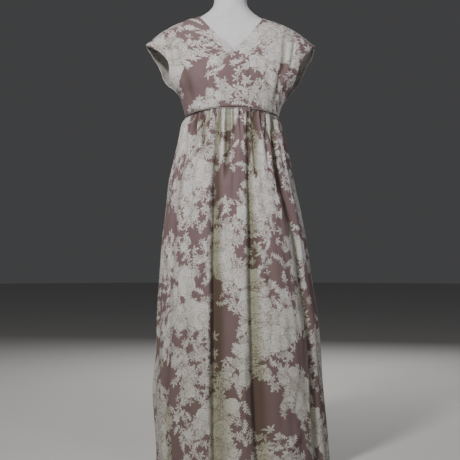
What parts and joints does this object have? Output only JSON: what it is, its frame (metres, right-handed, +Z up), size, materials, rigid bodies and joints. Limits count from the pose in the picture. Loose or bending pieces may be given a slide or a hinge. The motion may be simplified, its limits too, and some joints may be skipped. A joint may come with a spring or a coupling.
{
  "type": "dress on dress form",
  "caption": "Long high-waisted floral dress with a V neck, cap sleeves and a gathered skirt, worn by a limbless cloth-covered dress form that stands on a pole and a round base.",
  "frame": {"origin": "centre of the round base plate's underside, on the floor", "axes": "+Z up the pole to the neck, -Y the front of the dress, +X the right-hand side of the picture, which is the wearer's left"},
  "size_m": [0.6173, 0.4718, 1.5944],
  "materials": {
    "printed_cotton": "light plain-weave cotton with a faint sheen, a mauve-brown ground all but covered by a cream floral print with fine grey lines, paler and greyer on its wrong side",
    "dark_piping": "fine dark grey cotton piping",
    "form_cover": "stretched plain linen, light grey, with a centre-front seam",
    "neck_cap_board": "the same light grey linen over a board disc",
    "black_steel": "satin black powder coat"
  },
  "bodies": {
    "root": {"bodice_front": "printed_cotton", "bodice_back": "printed_cotton", "skirt_front": "printed_cotton", "skirt_back": "printed_cotton", "waist_piping": "dark_piping", "form_torso": "form_cover", "neck_cap": "neck_cap_board", "stand_pole": "black_steel", "stand_base": "black_steel"}
  },
  "joints": []
}
